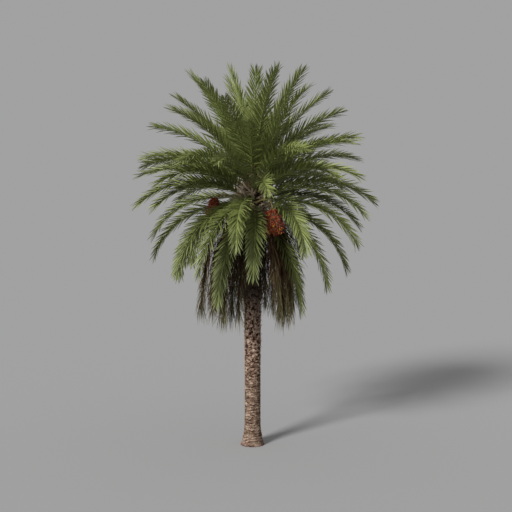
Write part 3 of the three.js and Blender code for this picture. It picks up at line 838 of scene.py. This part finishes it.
def trunk_bark():
    """The trunk as a turned shell with the relief of its leaf scars."""
    heights = np.arange(0, HEART_TOP - BARK_TIP, BARK_STEP)
    profile = [(0, 0), *((float(trunk_radius(z)), float(z)) for z in heights), (0, HEART_TOP)]
    bm = turned(profile, BARK_SIDES)
    mesh = bpy.data.meshes.new("trunk_bark")
    bm.to_mesh(mesh)
    bm.free()

    place = np.zeros(len(mesh.vertices) * 3)
    mesh.vertices.foreach_get("co", place)
    place = place.reshape(-1, 3)
    radius = np.hypot(place[:, 0], place[:, 1])
    angle = np.arctan2(place[:, 1], place[:, 0])
    height = place[:, 2]
    rough = np.array([noise.fractal(Vector(p) * ROUGH_SCALE, *ROUGH_FRACTAL) for p in place])
    warp = np.array([noise.noise(Vector(p) * WARP_SCALE) for p in place])
    upper = np.clip((height - ROUGH_FROM) / (ROUGH_FULL - ROUGH_FROM), 0, 1)
    angle = angle + WARP_TURN * warp
    shifted = height + WARP_RISE * warp + ROUGH_RISE * rough
    relief = scar_relief(angle, shifted)
    relief = lerp(relief, FLATTER * relief + HIGHER, upper) + lerp(*ROUGH_SHARES, upper) * rough
    relief = relief - lerp(*PIT_DEPTHS, upper) * pit_depth(angle, shifted, upper)
    relief = np.clip(relief, 0, RELIEF_MOST)
    push = (relief - lerp(*BARK_LEVELS, upper)) * lerp(*BARK_DEPTHS, upper) + GRIT * rough
    turned_part = (height > 0.001) & (radius > BARK_TIP)
    scale = np.where(turned_part, 1 + push / np.maximum(radius, BARK_TIP), 1)
    place[:, :2] *= scale[:, None]
    mesh.vertices.foreach_set("co", place.astype(np.float32).ravel())
    # The relief is kept on the mesh too, where the bark's finish reads it to paint shade into the hollows
    # and pits.
    attribute = mesh.attributes.new("relief", "FLOAT", "POINT")
    attribute.data.foreach_set("value", relief.astype(np.float32))
    finished("trunk_bark", mesh, [bark_finish()], ["trunk"])


def old_leaf_bases(finish):
    """The cut leaf bases that stand out from the trunk below the heart."""
    number = np.arange(BOOTS)
    azimuth = np.radians(number * GOLDEN_ANGLE)
    height = lerp(BOOT_LOW, BOOT_HIGH, (number + 0.5) / BOOTS)
    out = bearing(azimuth)
    across = np.cross(UP, out)
    heading = unit(out + UP * rng.uniform(*BOOT_LEANS, (BOOTS, 1)))
    size = np.interp(height, [BOOT_LOW, BOOT_FULL], [BOOT_LEAST, 1])[:, None]
    length = size * rng.uniform(*BOOT_LENGTHS, BOOTS)[:, None]
    radius = np.array([trunk_radius(z) for z in height])[:, None]
    foot = out * (radius - FOOT_SINK * size) + UP * height[:, None]
    normal = np.cross(across, heading)
    angles = circle(BOOT_SIDES)
    rings = []
    for share, width, depth in BOOT_SECTIONS:
        middle = foot + heading * length * share
        ring = np.cos(angles)[:, None] * across[:, None] * width + (
            np.sin(angles)[:, None] * normal[:, None] * depth
        )
        rings.append(middle[:, None] + size[:, None] * ring)
    corners = np.stack(rings, axis=1)
    shape = ringed(len(BOOT_SECTIONS), BOOT_SIDES)
    piece("old_leaf_bases", [(shape, corners)], [finish])


def heart_stubs(finish):
    """Crooked, pale stubs of old stalks that stick out between the fronds all round the heart."""
    number = np.arange(STUBS)
    azimuth = number * GOLDEN_ANGLE
    height = rng.uniform(STUB_LOW, STUB_HIGH, STUBS)
    foot = np.array([polar(a, heart_radius(z) - FOOT_SINK, z) for a, z in zip(azimuth, height)])
    out = np.array([polar(a, 1, 0) for a in azimuth])
    aside = np.array([polar(a + 90, 1, 0) for a in azimuth]) * rng.uniform(*STUB_ASIDE, (STUBS, 1))
    length = rng.uniform(*STUB_LENGTHS, STUBS)[:, None]
    first = unit(out + 0.3 * aside + 0.3 * UP) * length * STUB_ARM
    rise = UP * rng.uniform(*STUB_RISES, (STUBS, 1))
    last = unit(0.5 * out + aside + rise) * length * STUB_ARM
    share = np.linspace(0, 1, 5)
    bends = [foot + first * t + last * t * t for t in share]
    radius = rng.uniform(*STUB_RADII, STUBS)[:, None] * np.interp(share, [0, 0.7, 1], [1.2, 0.9, 0.6])
    corners = sleeves(np.stack(bends, axis=1), radius, STUB_SIDES)
    piece("heart_stubs", [(ringed(5, STUB_SIDES), corners)], [finish])


def hanging_fibres(finish):
    """Strands of old sheath that hang down along the trunk from under the fronds."""
    azimuth = rng.uniform(0, 360, FIBRES)
    top, length = rng.uniform(*FIBRE_TOPS, FIBRES), rng.uniform(*FIBRE_LENGTHS, FIBRES)
    off = rng.uniform(*FIBRE_OFFS, FIBRES)
    paths = []
    for share in np.linspace(0, 1, 5):
        turn = azimuth + share * rng.normal(0, FIBRE_SWAY, FIBRES)
        radius = [trunk_radius(z) + o * share**0.5 for z, o in zip(top, off)]
        paths.append([polar(a, r, z) for a, r, z in zip(turn, radius, top - length * share)])
    radius = FIBRE_PROFILE * FIBRE_RADIUS
    corners = sleeves(np.array(paths).transpose(1, 0, 2), radius, FIBRE_SIDES)
    piece("hanging_fibres", [(ringed(5, FIBRE_SIDES), corners)], [finish])


def foot_roots(finish):
    """Short roots that break out of the trunk's foot, most on one side, and reach the ground."""
    gathered = rng.random(ROOTS) < ROOTS_GATHERED
    azimuth = np.radians(rng.normal(ROOT_AZIMUTH, ROOT_SPREAD, ROOTS))
    azimuth = np.where(gathered, azimuth, rng.uniform(0, 2 * math.pi, ROOTS))
    out = np.stack([np.cos(azimuth), np.sin(azimuth)], axis=1)
    top = rng.uniform(*ROOT_TOPS, ROOTS)
    reach = rng.uniform(0, 1, ROOTS) ** 2 * ROOT_REACH
    foot_height = ROOT_RADIUS * 1.1
    paths = []
    for share in (0, 0.35, 0.7, 1):
        spread = reach + stem_radius(0) - stem_radius(top)
        radius = stem_radius(top) - ROOT_SINK + spread * share**1.4
        height = lerp(top, foot_height, share**0.8)
        paths.append(np.concatenate([out * radius[:, None], height[:, None]], axis=1))
    corners = sleeves(np.stack(paths, axis=1), ROOT_PROFILE * ROOT_RADIUS, ROOT_SIDES)
    piece("foot_roots", [(ringed(4, ROOT_SIDES), corners)], [finish])


# ---- dates

BELL_DEPTHS = [0, 0.12, 0.35, 0.68, 0.88, 1]
BELL_RADII = [0.02, 0.09, 0.18, 0.27, 0.32, 0.29]
BELL_DROP = 0.75
STRANDS = 54
STRAND_SIDES = 3
STRAND_RINGS = 8
STRAND_RADIUS = 0.0032
STRAND_SPREAD = 0.45  # the power by which strands crowd to the outside
STRAND_SAG = 0.06
DROP_LOSS = 0.08  # the outer strands' drop is this much shorter
DROP_SCATTER = (-0.16, 0.05)
DATES_TO_STRAND = 14
OUTER_FROM, OUTER_START, INNER_START = 0.6, 0.12, 0.5  # where dates start, along outer and inner strands
DATE_LENGTH = 0.050
DATE_WIDTH = 0.033
DATE_SCATTER = 0.022
DATE_SHIFT = 0.015  # the scatter along a strand, as a share of it
DATE_SIZES = (0.85, 1.15)
GOLD_FROM, ORANGE_FROM = 0.975, 0.6  # of a share that is drawn for each date
LOW_GOLD_EXTRA = 0.12  # by which more of the low dates are gold
STALK_RINGS = 24
STALK_SIDES = 8
STALK_RADII = (0.028, 0.015)


def bezier(a, b, c, d, t):
    """Points on a cubic curve."""
    t = np.asarray(t)[..., None]
    return a * (1 - t) ** 3 + 3 * b * t * (1 - t) ** 2 + 3 * c * t * t * (1 - t) + d * t**3


def date_shape():
    """One date, and its corners about its middle, long along Z."""
    bm = bmesh.new()
    bmesh.ops.create_uvsphere(bm, u_segments=7, v_segments=5, radius=1)
    bmesh.ops.scale(bm, vec=(DATE_WIDTH / 2, DATE_WIDTH / 2, DATE_LENGTH / 2), verts=bm.verts)
    corners = np.array([v.co[:] for v in bm.verts])
    faces = [tuple(v.index for v in face.verts) for face in bm.faces]
    bm.free()
    return Shape(len(corners), faces), corners


def strand_places(bunch, top, turn, q, drop, share):
    """Places on strands that part from the stalk and hang as a bell, at shares of their drops."""
    radius = bunch["size"] * q * np.interp(share, BELL_DEPTHS, BELL_RADII)
    fall = bunch["size"] * drop * (share - STRAND_SAG * np.sin(math.pi * share))
    return top + np.stack([np.cos(turn) * radius, np.sin(turn) * radius, -fall], axis=-1)


def bunch_of_dates(bunch, number, finishes):
    """One bunch: its stalk, its strands and the dates along them."""
    azimuth, reach = bunch["azimuth"], bunch["reach"]
    arch = bunch["stalk_foot"] + BUNCH_STALK_RISE
    foot = polar(azimuth, heart_radius(bunch["stalk_foot"]) - ROOT_DEPTH, bunch["stalk_foot"])
    top = polar(azimuth, reach, bunch["height"] + BUNCH_TOP * bunch["size"])
    end = top - UP * BUNCH_STALK_SINK
    t = np.linspace(0, 1, STALK_RINGS)
    over = [polar(azimuth, (HEART_RADIUS + reach) / 2, arch), polar(azimuth, reach, arch)]
    stalk = sleeves(bezier(foot, *over, end, t)[None], lerp(*STALK_RADII, t), STALK_SIDES)

    order = np.arange(STRANDS)
    turn = np.radians(order * GOLDEN_ANGLE)[:, None]
    q = (((order + 0.5) / STRANDS) ** STRAND_SPREAD)[:, None]
    drop = BELL_DROP * (1 - DROP_LOSS * q**2 + rng.uniform(*DROP_SCATTER, (STRANDS, 1)))
    share = np.linspace(0, 1, STRAND_RINGS)[None]
    strands = sleeves(strand_places(bunch, top, turn, q, drop, share), STRAND_RADIUS, STRAND_SIDES)

    first = np.where(q > OUTER_FROM, OUTER_START, INNER_START)
    along = lerp(first, 1, np.linspace(0, 1, DATES_TO_STRAND)[None])
    along = np.clip(along + rng.normal(0, DATE_SHIFT, along.shape), 0, 1)
    places = strand_places(bunch, top, turn, q, drop, along).reshape(-1, 3)
    count = len(places)
    places = places + rng.normal(0, DATE_SCATTER, (count, 3))
    swing = rng.uniform(0, 2 * math.pi, count)
    away = unit((places - polar(azimuth, reach, 0)) * [1, 1, 0])
    axis = unit(bearing(swing) + 0.7 * away - 0.8 * UP)
    across = unit(np.cross(axis, [0.31, 0.17, 0.93]))
    above = np.cross(axis, across)
    shape, date = date_shape()
    turned_date = date @ np.stack([across, above, axis], axis=1)
    grown = rng.uniform(*DATE_SIZES, (count, 1, 1))
    corners = (places + axis * DATE_LENGTH * 0.5)[:, None] + grown * turned_date
    tint = hash_share(np.arange(count), number)
    low = places[:, 2] < bunch["height"] - 0.2 * bunch["size"]
    gold, orange = tint > GOLD_FROM - low * LOW_GOLD_EXTRA, tint > ORANGE_FROM
    batches = [
        (ringed(STALK_RINGS, STALK_SIDES), stalk),
        (ringed(STRAND_RINGS, STRAND_SIDES), strands),
        (shape.with_finish(1), corners[~gold & ~orange]),
        (shape.with_finish(2), corners[orange & ~gold]),
        (shape.with_finish(3), corners[gold]),
    ]
    piece(f"dates_{number}", batches, finishes, [f"date_bunch_{number}"])


# ---- the palm

BUD_SEAT = 0.9
BUD_FOOT = HEART_CENTRE + BUD_SEAT * HEART_HEIGHT
# Each spear's azimuth, lean, length and radius
SPEARS = [(0, 0, 1.22, 0.060), (128, 5, 1.05, 0.048), (250, 7, 0.92, 0.044)]
SPEAR_OFF = 0.04  # the leaning ones' feet are this far off the trunk's axis
SPEAR_PROFILE = [(0, 0.6), (0.12, 0.95), (0.3, 1), (0.6, 0.72), (0.85, 0.36), (1, 0.03)]
SPEAR_SIDES = 16
SPEAR_PLEAT = 0.16

DRY_ROUGHNESS, DRY_SHINE = 0.85, 0.15
TINT_MIX = 1.1  # in tints, how far a green leaflet's tint strays from its age's
FROND_TINT_MIX = 0.5
DRY_TOP, DRY_END = 5.9, 3.7  # heights between which the dead leaflets turn from brown to olive
DRY_MIX = 0.45

GREENS = [  # from the young leaflets' to the old ones'
    leaf_finish("leaflets_bright", "6a7635", "808a49"),
    leaf_finish("leaflets_olive", "717a39", "888e4c"),
    leaf_finish("leaflets_mid", "616b2c", "757f3b"),
    leaf_finish("leaflets_deep", "505a20", "666f2e"),
]
DRIES = [
    leaf_finish("dry_brown", "2f2014", "3f2d1c", DRY_ROUGHNESS, DRY_SHINE),
    leaf_finish("dry_tan", "51402b", "66543a", DRY_ROUGHNESS, DRY_SHINE),
    leaf_finish("dry_olive", "504d30", "66633f", DRY_ROUGHNESS, DRY_SHINE),
]
RIB_FINISHES = [
    rib_finish("stalk_base", "826c52", "b09a79"),
    rib_finish("stalk", "70713c", "868650"),
    rib_finish("rib", "6f7a3e", "8a9654"),
]
DRY_RIB_FINISHES = [
    rib_finish("dry_base", "4a3827", "6e5740"),
    rib_finish("dry_rib", "57452d", "796243"),
]
DATE_FINISHES = [
    rib_finish("date_stalk", "86754a", "ab9863"),
    date_finish("date_red", "68160a", "8a240b"),
    date_finish("date_orange", "b44411", "90300c"),
    date_finish("date_gold", "c88e25", "bb771d"),
]


def ribs(name, grown, finishes):
    """The ribs of these fronds, and the green ones' spines, as one piece in place of their solids."""
    shares = RIB_RINGS / RIB_STEPS

    def finish_at(ring):
        u = (shares[ring] + shares[ring + 1]) / 2
        return min(int(u > BARE_END) + int(u > STALK_END), len(finishes) - 1)

    shape = ringed(len(RIB_RINGS), RIB_SIDES, finish_at)
    batches = [(shape, [rib_corners(frond) for frond in grown])]
    if not grown[0].dead:
        spines = np.concatenate([spine_corners(frond) for frond in grown])
        batches.append((ringed(len(SPINE_PROFILE), SPINE_SIDES).with_finish(1), spines))
    nodes = sorted({frond.node() for frond in grown})
    piece(name, batches, finishes, nodes)


def foliage(grown, tints, deal):
    """The leaflets of these fronds, as one piece for each tint that they are dealt out to."""
    hands = [[] for _ in tints]
    for frond in grown:
        corners = np.concatenate([frond_leaflets(frond), end_leaflets(frond)])
        dealt = deal(frond, corners)
        for tint, hand in enumerate(hands):
            hand.append(corners[dealt == tint])
    nodes = sorted({frond.node() for frond in grown})
    for finish, hand in zip(tints, hands):
        piece(finish.name, [(leaflet_shape(), np.concatenate(hand))], [finish], nodes)


def green_tints(frond, corners):
    """The leaflets of the young fronds are the brightest."""
    own = frond.age * len(GREENS) + rng.normal(0, FROND_TINT_MIX)
    return np.clip(own + rng.normal(0, TINT_MIX, len(corners)), 0, len(GREENS) - 1).astype(int)


def dry_tints(frond, corners):
    """Dead leaflets are brown near the heart, and tan or olive where they hang lower."""
    height = corners[:, 1, 2]
    low = (DRY_TOP - height) / (DRY_TOP - DRY_END) + rng.normal(0, DRY_MIX, len(corners))
    return np.clip(low * len(DRIES), 0, len(DRIES) - 1).astype(int)


def spears(finish):
    """The closed young fronds that stand up from the heart, pleated along their length."""
    corners = []
    angles = circle(SPEAR_SIDES)
    pleat = 1 + SPEAR_PLEAT * np.where(np.arange(SPEAR_SIDES) % 2, 1, -1)
    for azimuth, lean, length, radius in SPEARS:
        foot = polar(azimuth, SPEAR_OFF if lean else 0, BUD_FOOT)
        heading = polar(azimuth, math.sin(math.radians(lean)), math.cos(math.radians(lean)))
        rings = [
            foot + heading * length * share + bearing(angles) * pleat[:, None] * radius * swell
            for share, swell in SPEAR_PROFILE
        ]
        corners.append(np.stack(rings))
    shape = ringed(len(SPEAR_PROFILE), SPEAR_SIDES)
    piece("spears", [(shape, corners)], [finish], ["heart_fronds"])


fronds = [Frond(number) for number in range(GREEN_FRONDS + DEAD_FRONDS)]
green = [frond for frond in fronds if not frond.dead]
dead = [frond for frond in fronds if frond.dead]

trunk_bark()
old_leaf_bases(fibre_finish("leaf_base", "66523e", "c9b39a", DARK_FIBRE_AND_SHADE_SHARE))
heart_stubs(fibre_finish("stub", "7d6852", "dccbb0"))
hanging_fibres(fibre_finish("fibre", "33261a", "5c4c30"))
foot_roots(fibre_finish("root", "5a4238", "97766a"))
ribs("green_ribs", green, RIB_FINISHES)
ribs("dead_ribs", dead, DRY_RIB_FINISHES)
spears(RIB_FINISHES[2])
foliage(green, GREENS, green_tints)
foliage(dead, DRIES, dry_tints)
for number, bunch in enumerate(BUNCHES, 1):
    bunch_of_dates(bunch, number, DATE_FINISHES)

# ---- stage, light and camera

FLOOR_SIZE = 400
KEY_HEADING = Vector((0.75, 1.0, -0.6))
KEY_STRENGTH = 4.0
KEY_SOFTNESS = 16  # degrees
SKY_LIGHT = 0.36
CAMERA_PLACE = (0.10, -20.9, 5.53)
CAMERA_LENS = 50


def stage():
    """A plain pale floor, which looks as light as the sky behind it."""
    bm = bmesh.new()
    bmesh.ops.create_grid(bm, x_segments=1, y_segments=1, size=FLOOR_SIZE / 2)
    mesh = bpy.data.meshes.new("floor")
    bm.to_mesh(mesh)
    bm.free()
    floor = bpy.data.objects.new("floor", mesh)
    bpy.context.scene.collection.objects.link(floor)
    key_on_floor = KEY_STRENGTH * -KEY_HEADING.normalized().z / math.pi
    tone = SKY_LIGHT / (SKY_LIGHT + key_on_floor)
    plain = Finish("floor_paint", Roughness=1.0)
    plain.set("Base Color", (tone, tone, tone, 1))
    plain.set("Specular IOR Level", 0.0)
    mesh.materials.append(plain.material)


def light_and_camera():
    """An even sky, one soft key light from the upper left, and a level camera."""
    scene = bpy.context.scene
    world = bpy.data.worlds.new("studio")
    world.use_nodes = True
    background = world.node_tree.nodes["Background"]
    background.inputs["Color"].default_value = (SKY_LIGHT, SKY_LIGHT, SKY_LIGHT, 1)
    scene.world = world
    scene.view_settings.view_transform = "Standard"
    data = bpy.data.lights.new("key", "SUN")
    data.energy, data.angle = KEY_STRENGTH, math.radians(KEY_SOFTNESS)
    key = bpy.data.objects.new("key", data)
    key.rotation_euler = KEY_HEADING.to_track_quat("-Z", "Y").to_euler()
    camera = bpy.data.cameras.new("camera")
    camera.lens = CAMERA_LENS
    camera.clip_end = 1000
    eye = bpy.data.objects.new("camera", camera)
    eye.location = CAMERA_PLACE
    eye.rotation_euler = (math.pi / 2, 0, 0)
    for thing in (key, eye):
        scene.collection.objects.link(thing)
    scene.camera = eye


stage()
light_and_camera()
